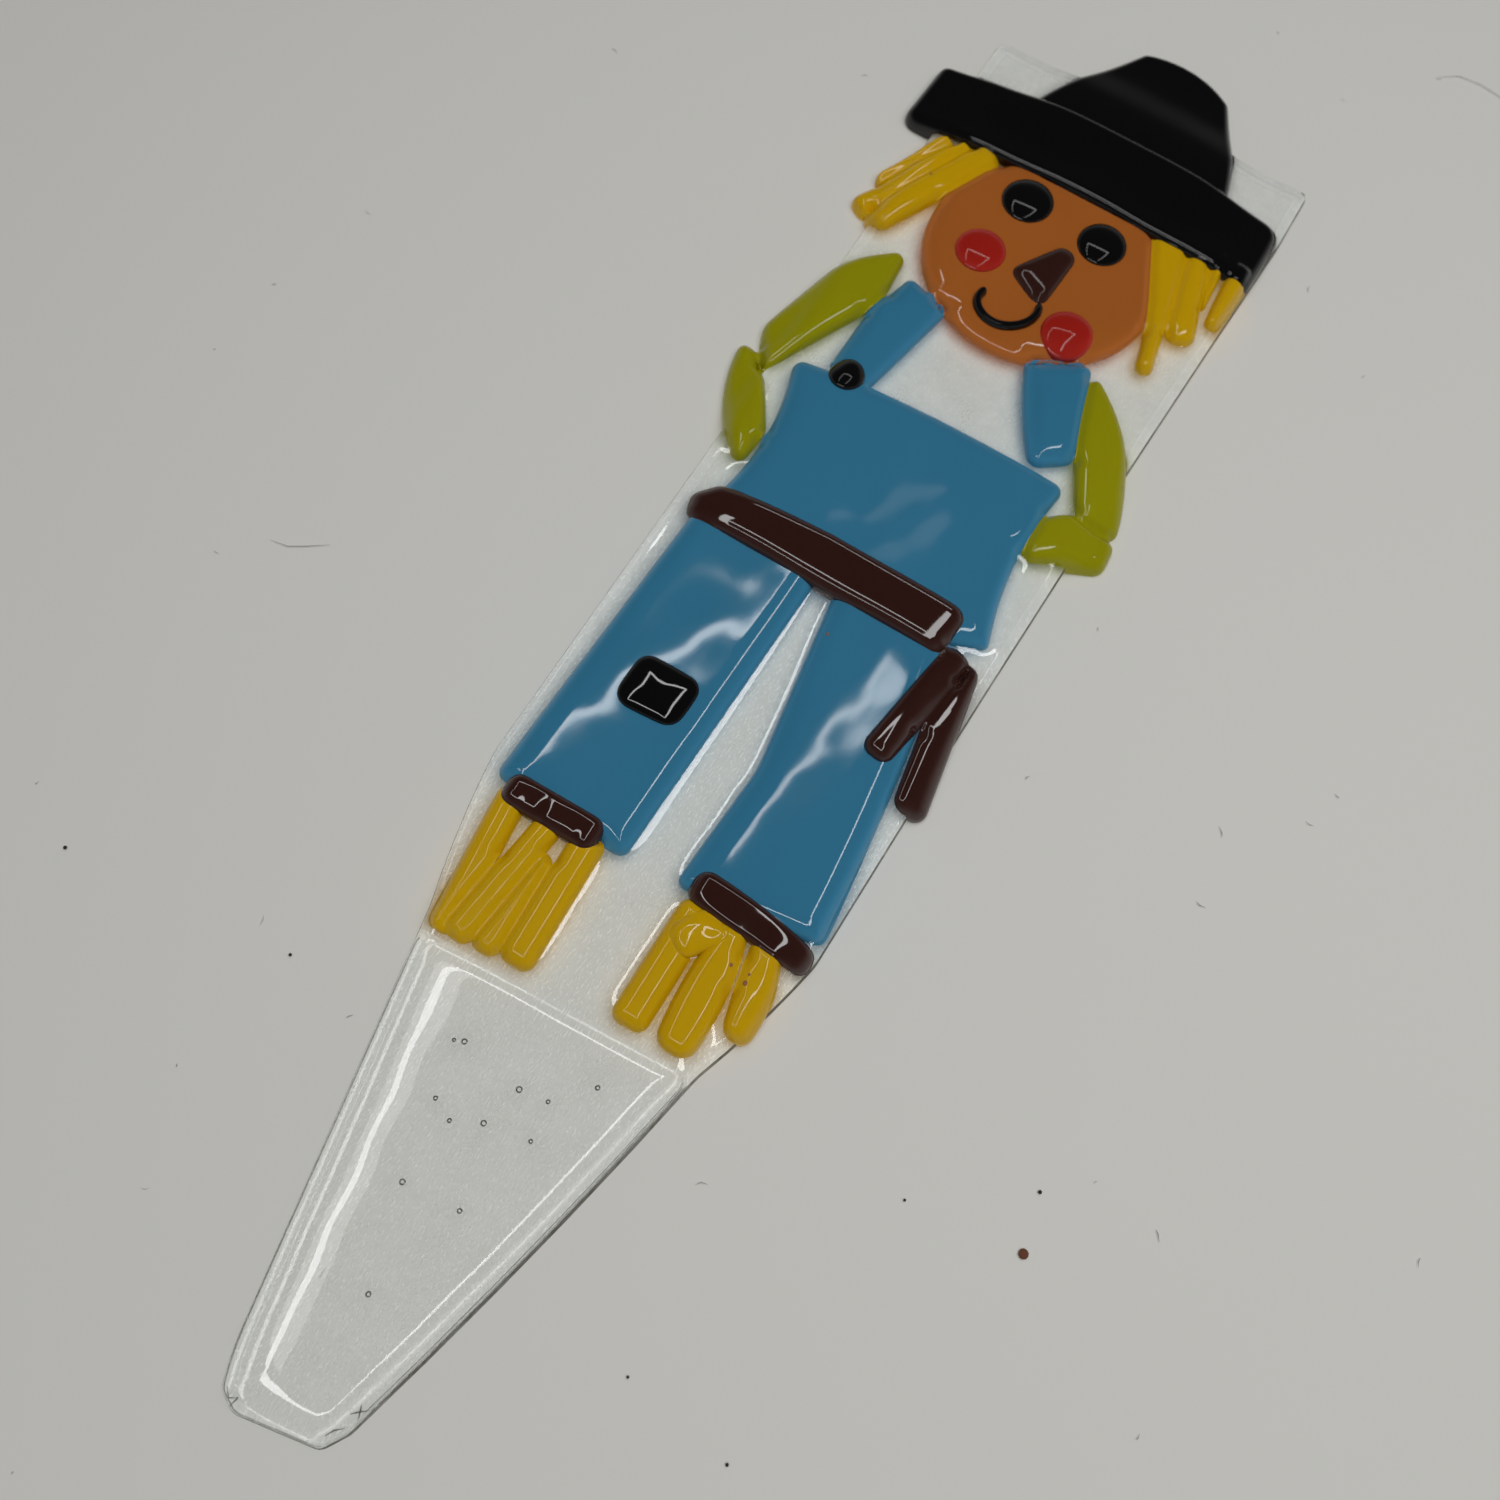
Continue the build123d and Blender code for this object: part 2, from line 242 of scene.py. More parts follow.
def blur(field, reach):
    """The field smoothed by a bell curve."""
    steps = np.arange(-int(3 * reach / PITCH), int(3 * reach / PITCH) + 1)
    bell = np.exp(-0.5 * (steps * PITCH / reach) ** 2)
    bell /= bell.sum()
    field = np.apply_along_axis(np.convolve, 0, field, bell, mode="same")
    return np.apply_along_axis(np.convolve, 1, field, bell, mode="same")


def sample(field, points):
    """The field's value at each point, by cubic splines so that its slope has no steps."""
    column = (points[:, 0] - grid_x[0]) / PITCH
    row = (points[:, 1] - grid_z[0]) / PITCH
    i = np.clip(column.astype(int), 1, grid_shape[0] - 3)
    j = np.clip(row.astype(int), 1, grid_shape[1] - 3)

    def shares(t):
        near, far = (3 * t**3 - 6 * t**2 + 4) / 6, (1 + 3 * t + 3 * t**2 - 3 * t**3) / 6
        return (1 - t) ** 3 / 6, near, far, t**3 / 6

    total = np.zeros(len(points))
    for a, across in enumerate(shares(column - i)):
        for b, along in enumerate(shares(row - j)):
            total += across * along * field[i + a - 1, j + b - 1]
    return total


def covered(loop):
    """Grid mask of the inside of a loop."""
    return inside(grid_points, loop).reshape(grid_shape)


def ripple(points, wavelength, seed, waves=7):
    """Gentle random waves of the melted surface, about one high."""
    random = np.random.RandomState(seed)
    total = np.zeros(len(points))
    for _ in range(waves):
        angle, phase = random.uniform(0, TAU, 2)
        turns = TAU / (wavelength * random.uniform(0.7, 1.6))
        total += np.sin(turns * (points @ (math.cos(angle), math.sin(angle))) + phase)
    return total / math.sqrt(waves)


def rounded(depth, width):
    """Share of the full height at a distance from the edge: a quarter of an ellipse."""
    return np.sqrt(1 - (1 - np.clip(depth / width, 0, 1)) ** 2)


# ---------------------------------------------------------------------------------------------
# Meshes
# ---------------------------------------------------------------------------------------------


def dots_inside(loop, spacing, clear):
    """Evenly spread points inside a loop, at least clear away from it."""
    low, high = loop.min(axis=0), loop.max(axis=0)
    rows = np.arange(low[1], high[1], spacing * math.sqrt(0.75))
    spread = []
    for index, z in enumerate(rows):
        x = np.arange(low[0] + (index % 2) * spacing / 2, high[0], spacing)
        spread.append(np.stack([x, np.full(len(x), z)], axis=1))
    spread = np.concatenate(spread)
    spread = spread[inside(spread, loop)]
    return spread[distance(spread, loop, np.roll(loop, -1, axis=0)) > clear]


def fill(loop, extra, cuts=()):
    """Triangles that fill a loop through extra points. Cuts are closed loops the edges must follow."""
    points = [loop]
    edges = []
    count = len(loop)
    for cut in cuts:
        points.append(cut)
        edges += [(count + k, count + (k + 1) % len(cut)) for k in range(len(cut))]
        count += len(cut)
    points.append(extra)
    vectors = [Vector(p) for p in np.concatenate(points).tolist()]
    made = geometry.delaunay_2d_cdt(vectors, edges, [list(range(len(loop)))], 1, 1e-5, True)
    faces = [face for face, source in zip(made[2], made[5]) if source]
    return np.array([tuple(p) for p in made[0]]), faces


class Shell:
    """A mesh being put together from points in millimetres."""

    def __init__(self):
        self.places = []
        self.faces = []
        self.kinds = []
        self.count = 0

    def add_points(self, flat, height):
        self.places.append(np.stack([flat[:, 0], -height, flat[:, 1]], axis=1))
        self.count += len(flat)
        return self.count - len(flat)

    def add_faces(self, faces, kind=0):
        self.faces += faces
        self.kinds += [kind] * len(faces)

    def band(self, low, high, size, kind=0):
        """A band of squares between two rows of points that each go once round."""
        after = [(k + 1) % size for k in range(size)]
        self.add_faces([(low + k, low + after[k], high + after[k], high + k) for k in range(size)], kind)

    def add_ball(self, x, z, height, radius, flatness, kind):
        """A small ball, flattened towards the back."""
        sides, rings = 10, 6
        turn = np.arange(sides) * TAU / sides
        circle = np.stack([np.cos(turn), np.sin(turn)], axis=1)
        tilts = np.arange(1, rings) * math.pi / rings
        rows = []
        for tilt in tilts:
            level = height + flatness * radius * math.cos(tilt)
            rows.append(self.add_points((x, z) + circle * radius * math.sin(tilt), np.full(sides, level)))
        poles = []
        for side in (1, -1):
            level = height + flatness * radius * side
            poles.append(self.add_points(np.array([(x, z)]), np.array([level])))
        faces = []
        for k in range(sides):
            after = (k + 1) % sides
            faces.append((poles[0], rows[0] + k, rows[0] + after))
            faces.append((poles[1], rows[-1] + after, rows[-1] + k))
            for upper, lower in zip(rows, rows[1:]):
                faces.append((lower + k, lower + after, upper + after, upper + k))
        self.add_faces(faces, kind)

    def add_thread(self, points, heights, radius, kind):
        """A fine four-sided thread along a row of (x, z) points."""
        points = np.asarray(points, float)
        heights = np.broadcast_to(heights, len(points))
        along = np.gradient(points, axis=0)
        along /= np.linalg.norm(along, axis=1)[:, None]
        across = np.stack([-along[:, 1], along[:, 0]], axis=1)
        sizes = np.full((len(points), 1), radius)
        sizes[[0, -1]] *= 0.3
        rows = []
        for turn in np.arange(4) * TAU / 4:
            side = points + across * sizes * math.cos(turn)
            rows.append(self.add_points(side, heights + sizes[:, 0] * math.sin(turn)))
        last = len(points) - 1
        faces = [
            (low + k, low + k + 1, high + k + 1, high + k)
            for low, high in zip(rows, rows[1:] + rows[:1]) for k in range(last)
        ]
        faces += [tuple(reversed(rows)), tuple(row + last for row in rows)]
        self.add_faces([face[::-1] for face in faces], kind)

    def piece(self, name, node, materials):
        """The finished piece, which stands for its CAD node."""
        made = self.object(name, materials)
        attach(made, "root")
        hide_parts(node)
        return made

    def object(self, name, materials):
        mesh = bpy.data.meshes.new(name)
        mesh.from_pydata((np.concatenate(self.places) * MM).tolist(), [], self.faces)
        for material in materials:
            mesh.materials.append(material)
        mesh.polygons.foreach_set("material_index", self.kinds)
        mesh.shade_smooth()
        mesh.set_sharp_from_angle(angle=math.radians(55))
        mesh.validate()
        made = bpy.data.objects.new(name, mesh)
        bpy.context.scene.collection.objects.link(made)
        return made


def build_shell(loop, width, top, bottom, spacing, under_spacing, cuts=(), under_kind=0, edge_kinds=()):
    """A shell over a loop. Top and bottom give the height at each (x, z) point.

    Edge kinds are pairs of a distance from the edge and the kind of the faces below that are nearer to it.
    The last kind is also the one of the steep rim.
    """
    shell = Shell()
    size = len(loop)
    wall_kind, rim_kind = (edge_kinds[-1][1],) * 2 if edge_kinds else (under_kind, 0)
    normals = inward(loop)
    ends = np.roll(loop, -1, axis=0)
    rows = [loop + normals * share * width for share in STEEP_ROWS]
    inner = rows[-1]
    extra = [dots_inside(inner, spacing, (SHOULDER_ROWS[-1] - STEEP_ROWS[-1]) * width + 0.4 * spacing)]
    for share in SHOULDER_ROWS:
        row = loop + normals * share * width
        extra.append(row[inside(row, loop) & (distance(row, loop, ends) > 0.985 * share * width)])
    under_rows = [loop + normals * inset for inset in UNDER_ROWS]
    under_extra = [row[inside(row, loop) & (distance(row, loop, ends) > 0.97 * inset)]
                   for row, inset in zip(under_rows, UNDER_ROWS)]
    under_extra.append(dots_inside(loop, under_spacing, UNDER_ROWS[-1] + 0.6 * under_spacing))
    under = fill(loop, np.concatenate(under_extra))
    under_start = shell.add_points(under[0], bottom(under[0]))
    shell.add_faces([tuple(under_start + k for k in reversed(face)) for face in under[1]], under_kind)
    if edge_kinds:
        middles = np.array([under[0][list(face)].mean(axis=0) for face in under[1]])
        reach = distance(middles, loop, ends)
        for limit, kind in edge_kinds:
            for index in np.flatnonzero(reach < limit):
                shell.kinds[index] = kind
    starts = [shell.add_points(row, top(row)) for row in rows[:-1]]
    face_points, faces = fill(inner, np.concatenate(extra), cuts)
    starts.append(shell.add_points(face_points, top(face_points)))
    shell.band(under_start, starts[0], size, wall_kind)
    for low, high in zip(starts, starts[1:]):
        shell.band(low, high, size, rim_kind)
    shell.add_faces([tuple(starts[-1] + k for k in face) for face in faces])
    return shell


# ---------------------------------------------------------------------------------------------
# Materials
# ---------------------------------------------------------------------------------------------


def node_material(name):
    material = bpy.data.materials.new(name)
    material.use_nodes = True
    material.node_tree.nodes.clear()
    return material, material.node_tree


def wire(tree, kind, settings=None, **inputs):
    """Adds a shader node, sets its properties, and sets or links its inputs by name."""
    node = tree.nodes.new(kind)
    for key, value in (settings or {}).items():
        setattr(node, key, value)
    for key, value in inputs.items():
        socket = node.inputs[int(key[1:]) if key[0] == "i" and key[1:].isdigit() else key.replace("_", " ")]
        if isinstance(value, bpy.types.NodeSocket):
            tree.links.new(value, socket)
        else:
            socket.default_value = value
    return node


def opal_glass(slot, colour, vary=0.08, shine=0.5, glow=0.6):
    """Opaque glossy glass with faint streaks and ripples. Its slopes are painted paler, a painted glow that
    stands in for light shining through the thin glass at the edges.
    """
    material, tree = node_material(slot)
    place = wire(tree, "ShaderNodeTexCoord").outputs["Object"]
    streaks = wire(tree, "ShaderNodeMapping", Vector=place, Scale=(1.0, 1.0, 0.35))
    cloud = wire(tree, "ShaderNodeTexNoise", Vector=streaks.outputs[0], Scale=90.0, Detail=4.0)
    dark = [c * (1 - vary) for c in colour] + [1]
    light = [min(1, c * (1 + vary)) for c in colour] + [1]
    flat_tone = wire(tree, "ShaderNodeMix", {"data_type": "RGBA"}, i0=cloud.outputs[0], i6=dark, i7=light)
    # Painted light: the colour turns paler as the surface tilts away from facing the viewer, up to the share
    # glow.
    tilt = wire(
        tree, "ShaderNodeSeparateXYZ", Vector=wire(tree, "ShaderNodeNewGeometry").outputs["Normal"]
    ).outputs["Y"]
    edge = wire(
        tree, "ShaderNodeMapRange", {"interpolation_type": "SMOOTHSTEP"}, Value=tilt,
        From_Min=-0.995, From_Max=-0.75, To_Min=0.0, To_Max=glow,
    )
    pale = [min(1, 1.4 * c + (0.0 if c < 0.005 else 0.01)) for c in colour] + [1]
    tone = wire(
        tree, "ShaderNodeMix", {"data_type": "RGBA"}, i0=edge.outputs[0], i6=flat_tone.outputs[2], i7=pale
    )
    fine = wire(tree, "ShaderNodeTexNoise", Vector=place, Scale=160.0, Detail=0.0)
    bump = wire(tree, "ShaderNodeBump", Height=fine.outputs[0], Strength=0.07, Distance=0.0004)
    glass = wire(
        tree, "ShaderNodeBsdfPrincipled", Base_Color=tone.outputs[2], Roughness=0.045,
        IOR=1.5, Specular_IOR_Level=shine, Normal=bump.outputs[0],
    )
    wire(tree, "ShaderNodeOutputMaterial", Surface=glass.outputs[0])
    return material


def math_node(tree, operation, first, second):
    """The outcome of an operation on two shader values."""
    return wire(tree, "ShaderNodeMath", {"operation": operation}, i0=first, i1=second).outputs[0]


def kiln_flecks(tree, place):
    """Fine pale flecks of the kiln shelf, which lean three ways and are strongest low on the stake."""
    flecks = None
    for turn, seed in ((0.5, 0.0), (-0.35, 3.0), (1.3, 7.0)):
        lean = wire(
            tree, "ShaderNodeMapping", Vector=place, Rotation=(0, turn, 0), Scale=(1.0, 0.0, 0.3),
            Location=(seed, seed, seed),
        )
        grain = wire(tree, "ShaderNodeTexNoise", Vector=lean.outputs[0], Scale=2600.0, Detail=1.0)
        fleck = wire(
            tree, "ShaderNodeMapRange", Value=grain.outputs[0], From_Min=0.60, From_Max=0.76,
            To_Min=0.0, To_Max=0.42,
        ).outputs[0]
        flecks = fleck if flecks is None else math_node(tree, "MAXIMUM", flecks, fleck)
    height = wire(tree, "ShaderNodeSeparateXYZ", Vector=place).outputs["Z"]
    low_down = wire(
        tree, "ShaderNodeMapRange", Value=height, From_Min=0.12, From_Max=0.19, To_Min=1.0, To_Max=0.25
    )
    return math_node(tree, "MULTIPLY", flecks, low_down.outputs[0])


def clear_glass(name, textured, haze_and_painted_rim_share=(0.22, 0.4), chalk_and_painted_rim_colour=(0.97, 0.985, 0.95)):
    """Clear glass that lets light through to what lies behind it, with a kiln-shelf texture if asked. The
    same haze and wash, with other shares and colours, paint the light and shade of the bands at the blank's
    rim.
    """
    material, tree = node_material(name)
    place = wire(tree, "ShaderNodeTexCoord").outputs["Object"]
    scale, strength = (130.0, 0.05) if textured else (60.0, 0.02)
    waves = wire(tree, "ShaderNodeTexNoise", Vector=place, Scale=scale, Detail=2.0)
    bump = wire(tree, "ShaderNodeBump", Height=waves.outputs[0], Strength=strength, Distance=0.0003)
    glass = wire(
        tree, "ShaderNodeBsdfGlass", Color=(0.985, 0.99, 0.985, 1), Roughness=0.0, IOR=1.5,
        Normal=bump.outputs[0],
    )
    surface = glass.outputs[0]
    if textured:
        flecks = kiln_flecks(tree, place)
        mist = wire(
            # The haze is the kiln texture's; in the rim bands its share and colour also paint light and
            # shade.
            tree, "ShaderNodeMapRange", Value=waves.outputs[0], From_Min=0.3, From_Max=0.7,
            To_Min=haze_and_painted_rim_share[0], To_Max=haze_and_painted_rim_share[1],
        )
        wash = math_node(tree, "ADD", flecks, mist.outputs[0])
        wash_diffuse = wire(tree, "ShaderNodeBsdfDiffuse", Color=(*chalk_and_painted_rim_colour, 1))
        surface = wire(tree, "ShaderNodeMixShader", i0=wash, i1=surface, i2=wash_diffuse.outputs[0]).outputs[0]
    path = wire(tree, "ShaderNodeLightPath")
    soft = math_node(tree, "MAXIMUM", path.outputs["Is Shadow Ray"], path.outputs["Is Diffuse Ray"])
    through = wire(tree, "ShaderNodeBsdfTransparent", Color=(0.98, 0.985, 0.98, 1))
    mixed = wire(tree, "ShaderNodeMixShader", i0=soft, i1=surface, i2=through.outputs[0])
    wire(tree, "ShaderNodeOutputMaterial", Surface=mixed.outputs[0])
    return material


def matt(name, colour):
    """A dull single colour for marks, specks and dust too small to show any grain."""
    material, tree = node_material(name)
    glass = wire(tree, "ShaderNodeBsdfPrincipled", Base_Color=(*colour, 1), Roughness=0.6)
    wire(tree, "ShaderNodeOutputMaterial", Surface=glass.outputs[0])
    return material


def bonded_glass():
    """Where clear glass has melted into clear glass nothing is seen."""
    material, tree = node_material("bonded_glass")
    through = wire(tree, "ShaderNodeBsdfTransparent", Color=(1, 1, 1, 1))
    wire(tree, "ShaderNodeOutputMaterial", Surface=through.outputs[0])
    return material


SATURATED = ("yellow_glass", "green_glass")
OPAL_COLOURS = {
    "black_glass": (0.0025, 0.0025, 0.003),
    "face_glass": (0.43, 0.125, 0.02),
    "red_glass": (0.38, 0.014, 0.008),
    "brown_glass": (0.034, 0.010, 0.007),
    "yellow_glass": (0.66, 0.385, 0.002),
    "green_glass": (0.33, 0.315, 0.003),
    "blue_glass": (0.038, 0.205, 0.35),
}
opal = {}
for slot, colour in OPAL_COLOURS.items():
    # Yellow and green get less shine and a weaker painted edge glow.
    finish = {"shine": 0.36, "glow": 0.12} if slot in SATURATED else {}
    opal[slot] = opal_glass(slot, colour, **finish)
clear = clear_glass("clear_glass", textured=False)
clear_back = clear_glass("clear_glass_back", textured=True)
bonded = bonded_glass()
# Painted light and shade at the blank's rim: two paler bands of painted light inside it and a dark line of
# painted shade at the rim, standing in for the light that the rounded edge gathers and bends away.
painted_light_inner_glass = clear_glass("clear_glass_painted_light_inner_band", textured=True, haze_and_painted_rim_share=(0.4, 0.62))
painted_light_edge_glass = clear_glass("clear_glass_painted_light_edge_band", textured=True, haze_and_painted_rim_share=(0.5, 0.9), chalk_and_painted_rim_colour=(1.0, 1.0, 0.98))
painted_shade_rim_glass = clear_glass("clear_glass_painted_shade_rim_line", textured=True, haze_and_painted_rim_share=(0.7, 0.95), chalk_and_painted_rim_colour=(0.16, 0.15, 0.12))
# Dark matt for the real scratches at the tip, and for the lines of painted shade inside the rim.
scratch_and_painted_shade_matt = matt("scratch_and_painted_shade_matt", (0.05, 0.047, 0.042))
bubble_rim = matt("bubble_rim", (0.07, 0.072, 0.068))
rust = matt("rust_speck", (0.30, 0.10, 0.01))


# ---------------------------------------------------------------------------------------------
# The stake
# ---------------------------------------------------------------------------------------------

outlines = {}
for node in SLOT:
    raw = front_loop(node)
    length = np.linalg.norm(np.roll(raw, -1, axis=0) - raw, axis=1).sum()
    outlines[node] = soften(raw, float(np.clip(length / STEPS_ROUND, 0.3, 0.7)), CORNER_MELT)


def segments(node):
    return outlines[node], np.roll(outlines[node], -1, axis=0)


def seams(node, row):
    """Which segments of a piece's outline touch a neighbour of its row, and how deep each groove is."""
    starts, ends = segments(node)
    middles = (starts + ends) / 2
    deep = np.zeros(len(starts))
    for other in row:
        if other != node:
            near = distance(middles, *segments(other)) < TOUCHING
            melted = SLOT[node] == SLOT[other] == "blue_glass"
            deep[near] = MELTED_SEAM if melted else SEAM
    return deep


groove = {}
for row in (ROW_0, ROW_1, ROW_2):
    for node in row:
        groove[node] = seams(node, row)


def depth_and_seam(node, row, points):
    """Distance to the free edge of a piece and its neighbours, and the share of height lost to seams."""
    far = 12
    low, high = points.min(axis=0) - far, points.max(axis=0) + far
    free = np.full(len(points), 1e9)
    lost = np.zeros(len(points))
    for other in row:
        starts, ends = segments(other)
        if other != node and not groove[other].any():
            continue
        near = np.all((starts > low) & (starts < high), axis=1)
        open_edge = near & (groove[other] == 0)
        if open_edge.any():
            free = np.minimum(free, distance(points, starts[open_edge], ends[open_edge]))
    starts, ends = segments(node)
    for level in (SEAM, MELTED_SEAM):
        touching = groove[node] == level
        if touching.any():
            gap = distance(points, starts[touching], ends[touching])
            lost = np.maximum(lost, level * np.exp(-((gap / SEAM_REACH) ** 2)))
    return free, lost


def shoulder_width(node):
    """Width of a piece's rounded shoulder: all of a narrow piece, or the rim of a wide one."""
    loop = outlines[node]
    middle = distance(dots_inside(loop, spacing=0.8, clear=0.2), *segments(node)).max()
    if node in HAT:
        width = HAT_SHOULDER
    elif node in DOTS:
        width = DOT_SHOULDER
    else:
        width = SHOULDER if node in (CAP, *WIDE_SHEETS) else BAR_SHOULDER
    return min(width, FILL * middle)


def dome(node, points):
    """Share of the full height on a dot, which melts into a lens."""
    loop = outlines[node]
    centre = loop.mean(axis=0)
    rim = loop - centre
    angle = np.arctan2(rim[:, 1], rim[:, 0])
    order = np.argsort(angle)
    off = points - centre
    reach = np.interp(
        np.arctan2(off[:, 1], off[:, 0]), angle[order], np.linalg.norm(rim, axis=1)[order], period=TAU
    )
    return rounded(1 - np.linalg.norm(off, axis=1) / reach, 1)


def cap_left_depth(points):
    """Distance from the spike's left edge."""
    starts, ends = segments(CAP)
    left = inward(starts)[:, 0] > 0.8  # edges that face left
    return distance(points, starts[left], ends[left])


# Marks as (x, z, radius), and scratches as rows of (x, z).
BUBBLE_HEIGHT = 4.2
BUBBLE_RIM = 0.12
BUBBLES = [
    (-8.4, 63.8, 0.42), (-10, 63.1, 0.25), (3.7, 62.2, 0.45), (8.8, 63.1, 0.3), (14.4, 69.3, 0.35),
    (10, 56.4, 0.3), (1.9, 54.7, 0.42), (-3, 52.1, 0.3), (-7, 53.8, 0.32), (-3.7, 40.3, 0.42),
    (6.6, 41.5, 0.35), (1.9, 23.8, 0.38),
]
SPECKS = {
    "straw_right_2": [(22, 98.3, 0.4)], "straw_right_3": [(25.8, 97, 0.5), (25.6, 98.6, 0.3)],
    "hair_left_outer": [(-31.5, 261.3, 0.3)], "leg_right": [(4.3, 160, 0.35)],
}
TIP_SCRATCHES = [
    [(-8.6, 1.6), (-7.4, 0.4), (-6.2, 1.2), (-6.6, -0.6)],
    [(9.2, 8.4), (10.4, 9.4), (11.6, 10.1)],
    [(10.9, 8.2), (10.4, 9.4), (9.9, 10.4)],
    [(7.9, 4.0), (8.6, 5.4), (9.9, 6.3)],
    [(-11.9, 9.4), (-11.2, 7.7)],
]


def lay_row(row, ground, nominal):
    """Builds one row of pieces over the ground. Returns the ground with the row on it."""
    drape = blur(ground, SAG)
    stiff_drape = blur(ground, STIFF_SAG)
    covering = ground.copy()
    for order, node in enumerate(row):
        full = CAD_TOP[node] - nominal
        width = shoulder_width(node)
        seed = 100 + order

        def bottom(points):
            return np.maximum(sample(ground, points) - SUNK, 0)

        def top(points):
            support = sample(stiff_drape if node in STIFF else drape, points)
            free, lost = depth_and_seam(node, row, points)
            thick = full + (SHEET - full) * (1 - np.clip(support / SHEET, 0, 1))
            share = dome(node, points) if node in DOTS else rounded(free, width)
            rise = thick * share * (1 - lost)
            wave = WAVE * ripple(points, WAVE_LENGTH, seed) * rounded(free, 2 * width)
            height = support + rise + wave
            if node == CAP:
                height -= CAP_BEVEL * np.clip(1 - cap_left_depth(points) / CAP_BEVEL_REACH, 0, 1) ** 2
            return np.maximum(height, bottom(points) + THINNEST + (SUNK + COVER) * share)

        spacing = SHEET_SPACING if node in (CAP, *WIDE_SHEETS) else BAR_SPACING
        if node in DOTS:
            spacing = DOT_SPACING
        under_kind = CAP_BONDED if node == CAP else 0
        shell = build_shell(outlines[node], width, top, bottom, spacing, UNDER_SPACING, under_kind=under_kind)
        materials = [opal[SLOT[node]], rust] if node != CAP else [clear, bonded, bubble_rim]
        if node == CAP:
            for x, z, radius in BUBBLES:
                turn = np.linspace(0, TAU, 13)
                ring = (x, z) + radius * np.stack([np.cos(turn), np.sin(turn)], axis=1)
                shell.add_thread(ring, BUBBLE_HEIGHT, BUBBLE_RIM, CAP_BUBBLE)
        for x, z, radius in SPECKS.get(node, ()):
            on = top(np.array([(x, z)]))[0]
            shell.add_ball(x, z, on - 0.02, radius, flatness=0.25, kind=OPAL_SPECK)
        shell.piece(node + "_melted", node, materials)
        mask = covered(outlines[node])
        covering[mask] = top(grid_points[mask.ravel()])
    return covering


def add_painted_shade_lines(shell, loop):
    """Painted shade: dark lines inside the rim, two along the spike's right edge and one at each corner by
    the hat, for the dark lines that the rounded glass edge shows.
    """
    normals = inward(loop)
    right = loop[(normals[:, 0] < -0.7) & (loop[:, 1] > 9) & (loop[:, 1] < 78)]
    right = right[np.argsort(right[:, 1])]
    for inset, height in ((1.3, 0.5), (2.0, 0.9)):
        shell.add_thread(right - (inset, 0), height, 0.07, SCRATCH_AND_PAINTED_SHADE)
    for side in (-1, 1):
        corner = loop[(normals[:, 1] < -0.7) & (loop[:, 1] > 290) & (loop[:, 0] * side > 18)]
        corner = corner[np.argsort(corner[:, 0])]
        shell.add_thread(corner - (0, 0.8), 2.2, 0.18, SCRATCH_AND_PAINTED_SHADE)


def build_base():
    """The clear blank, with a meniscus round every piece that lies on it. Returns its bare height."""
    loop = outlines[BASE]
    raised = np.zeros(grid_shape)
    for node in ROW_0 + ["hat_brim"]:
        raised[covered(outlines[node])] = 1
    meniscus = MENISCUS * blur(raised, MENISCUS_REACH)
    ends = np.roll(loop, -1, axis=0)

    def bare(points):
        edge = rounded(distance(points, loop, ends), BASE_SHOULDER)
        wave = BASE_WAVE * ripple(points, BASE_WAVE_LENGTH, 7)
        return BASE_WALL + (SHEET - BASE_WALL) * edge + wave * edge

    def top(points):
        edge = rounded(distance(points, loop, ends), BASE_SHOULDER)
        return bare(points) + sample(meniscus, points) * edge

    def bottom(points):
        return np.zeros(len(points))

    cap_loop = outlines[CAP]
    # The faces near the rim, the side wall and the steep rim take the painted light bands and the painted
    # shade line.
    shell = build_shell(
        loop, BASE_SHOULDER, top, bottom, BASE_SPACING, BASE_UNDER_SPACING, cuts=[cap_loop],
        under_kind=CLEAR_BACK,
        edge_kinds=list(zip(reversed(UNDER_ROWS), (PAINTED_LIGHT_INNER, PAINTED_LIGHT_EDGE, PAINTED_SHADE_RIM))),
    )
    places = np.concatenate(shell.places)
    faces_up = [k for k, face in enumerate(shell.faces) if shell.kinds[k] == CLEAR and len(face) == 3]
    centres = np.array([places[list(shell.faces[k])].mean(axis=0) for k in faces_up])[:, (0, 2)]
    for k, under_cap in zip(faces_up, inside(centres, cap_loop)):
        if under_cap:
            shell.kinds[k] = BONDED
    for line in TIP_SCRATCHES:
        shell.add_thread(line, bare(np.array(line)) - 0.35, 0.15, SCRATCH_AND_PAINTED_SHADE)
    # Lines of painted shade inside the rim.
    add_painted_shade_lines(shell, loop)
    shell.piece(
        "clear_base_melted", BASE, [clear, clear_back, bonded, scratch_and_painted_shade_matt, painted_light_inner_glass, painted_light_edge_glass, painted_shade_rim_glass]
    )
    ground = np.zeros(grid_shape)
    mask = covered(loop)
    ground[mask] = bare(grid_points[mask.ravel()])
    return ground


ground = build_base()
ground = lay_row(ROW_0, ground, SHEET)
ground = lay_row(ROW_1, ground, LAYER_2)
ground = lay_row(ROW_2, ground, LAYER_2)


# ---------------------------------------------------------------------------------------------
# Floor, light and camera
# ---------------------------------------------------------------------------------------------


